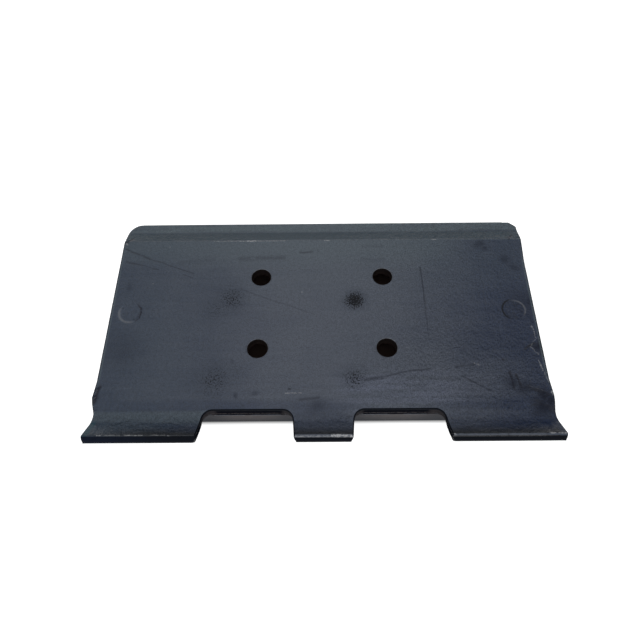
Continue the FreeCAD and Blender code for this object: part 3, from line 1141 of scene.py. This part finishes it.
class TRACKSHOE_OT_make_shoe(bpy.types.Operator):
    """Makes the painted track shoe in place of its plain solid"""

    bl_idname = "trackshoe.make_shoe"
    bl_label = "Make Track Shoe"

    def execute(self, context):
        mesh = make_shoe_mesh(context.scene.track_shoe_shape)
        shoe = bpy.data.objects.new("worn_track_shoe", mesh)
        context.scene.collection.objects.link(shoe)
        give_finishes(shoe, context.scene.track_shoe_finish)
        mesh.shade_smooth()
        mesh.set_sharp_from_angle(angle=math.radians(32.0))
        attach(shoe, "root")
        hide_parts(SHOE_NODE)
        return {"FINISHED"}


def floor_finish(stage):
    """A pale floor that shows white round the shoe, with a painted shadow under the shoe: nearly black, with
    a dim brownish disc under the middle that shows through the bolt holes.
    """
    material, tree = new_material("pale_floor")
    place = place_in_mm(tree)
    # Painted shadow: the floor's white glow fades out over the shoe's footprint
    outside = turn("SUBTRACT", turn("ABSOLUTE", place), (220.0, 106.0, 1000.0))
    outside = turn("LENGTH", turn("MAXIMUM", outside, (0.0, 0.0, 0.0)))
    unshadowed_floor = ease(outside, 0.0, 7.0)
    # Painted shadow under the shoe, with dim painted light under the middle where the bolt holes look through
    painted_shadow_under_shoe = tint(
        ease(turn("LENGTH", place), 117.0, 122.0),
        solid(stage.shaded_floor), (0.01, 0.01, 0.01, 1.0))
    color = tint(unshadowed_floor, painted_shadow_under_shoe, solid(stage.floor))
    seen = put(tree, "ShaderNodeLightPath").outputs
    backdrop = plus(seen["Is Camera Ray"], seen["Is Glossy Ray"], seen["Is Transmission Ray"])
    glow = put(tree, "ShaderNodeEmission", {"Strength": times(backdrop, unshadowed_floor, 0.90)})
    matt = put(tree, "ShaderNodeBsdfDiffuse", {"Color": color})
    both = put(tree, "ShaderNodeAddShader", {0: glow.outputs[0], 1: matt.outputs[0]})
    put(tree, "ShaderNodeOutputMaterial", {"Surface": both.outputs[0]})
    return material


def make_floor(context, stage):
    half = stage.floor_size / 2.0
    level = (min(z for _, z, _ in SECTION) - 0.1) * MM
    mesh = bpy.data.meshes.new("floor")
    corners = [(-half, -half, level), (half, -half, level), (half, half, level), (-half, half, level)]
    mesh.from_pydata(corners, [], [(0, 1, 2, 3)])
    mesh.materials.append(floor_finish(stage))
    floor = bpy.data.objects.new("floor", mesh)
    context.scene.collection.objects.link(floor)


def light_sky(context, stage):
    """A soft studio dome: a broad light in front and above, and a narrow one above the back."""
    world = bpy.data.worlds.new("studio")
    world.use_nodes = True
    tree = world.node_tree
    tree.nodes.clear()
    way = put(tree, "ShaderNodeTexCoord").outputs["Generated"]
    sideways, backward, upward = parts_of(way)
    aside = weigh(sideways, 1.0 / stage.back_light_width, stage.back_light_shift)
    back_light = times(
        reckon("EXPONENT", times(aside, aside, -1.0)),
        ease(upward, 0.26, 0.60), ease(backward, -0.10, 0.45))
    front_light = times(ease(backward, -0.05, -0.50), ease(upward, 0.15, 0.45))
    low_back = times(ease(backward, 0.3, 0.8), ease(upward, 0.40, 0.05, 0.0, 0.7))
    light = ease(backward, 0.2, 0.9, stage.dome, stage.dome_back)
    light = less(light, times(light, low_back))
    light = weigh(front_light, stage.front_light, light)
    light = weigh(back_light, stage.back_light, light)
    glow = put(tree, "ShaderNodeBackground", {"Color": solid(stage.light_color), "Strength": light})
    put(tree, "ShaderNodeOutputWorld", {0: glow.outputs[0]})
    context.scene.world = world


def make_camera(context, stage):
    camera = bpy.data.objects.new("camera", bpy.data.cameras.new("camera"))
    context.scene.collection.objects.link(camera)
    camera.location = stage.camera_place
    camera.rotation_euler = stage.camera_turn
    camera.data.lens = stage.lens
    camera.data.sensor_width = 36.0
    camera.data.clip_start = 0.01
    context.scene.camera = camera


class TRACKSHOE_OT_make_stage(bpy.types.Operator):
    """Makes the floor, the light and the camera"""

    bl_idname = "trackshoe.make_stage"
    bl_label = "Make Stage"

    def execute(self, context):
        stage = context.scene.track_shoe_stage
        context.scene.view_settings.view_transform = "Standard"
        make_camera(context, stage)
        light_sky(context, stage)
        make_floor(context, stage)
        return {"FINISHED"}


class TRACKSHOE_PT_panel(bpy.types.Panel):
    """Lists the sizes, colours and tools of the track shoe"""

    bl_idname = "TRACKSHOE_PT_panel"
    bl_label = "Track Shoe"
    bl_space_type = "VIEW_3D"
    bl_region_type = "UI"
    bl_category = "Track Shoe"

    def draw(self, context):
        layout = self.layout
        scene = context.scene
        for group in (scene.track_shoe_shape, scene.track_shoe_finish, scene.track_shoe_stage):
            box = layout.box()
            for name in group.__annotations__:
                box.prop(group, name)
        layout.operator(TRACKSHOE_OT_make_shoe.bl_idname)
        layout.operator(TRACKSHOE_OT_make_stage.bl_idname)


CLASSES = (
    TrackShoeShape,
    TrackShoeFinish,
    TrackShoeStage,
    TRACKSHOE_OT_make_shoe,
    TRACKSHOE_OT_make_stage,
    TRACKSHOE_PT_panel,
)


def register():
    for cls in CLASSES:
        bpy.utils.register_class(cls)
    bpy.types.Scene.track_shoe_shape = PointerProperty(type=TrackShoeShape)
    bpy.types.Scene.track_shoe_finish = PointerProperty(type=TrackShoeFinish)
    bpy.types.Scene.track_shoe_stage = PointerProperty(type=TrackShoeStage)


def unregister():
    del bpy.types.Scene.track_shoe_shape
    del bpy.types.Scene.track_shoe_finish
    del bpy.types.Scene.track_shoe_stage
    for cls in reversed(CLASSES):
        bpy.utils.unregister_class(cls)


def main():
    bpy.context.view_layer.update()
    register()
    bpy.ops.trackshoe.make_stage()
    bpy.ops.trackshoe.make_shoe()


if __name__ == "__main__":
    main()
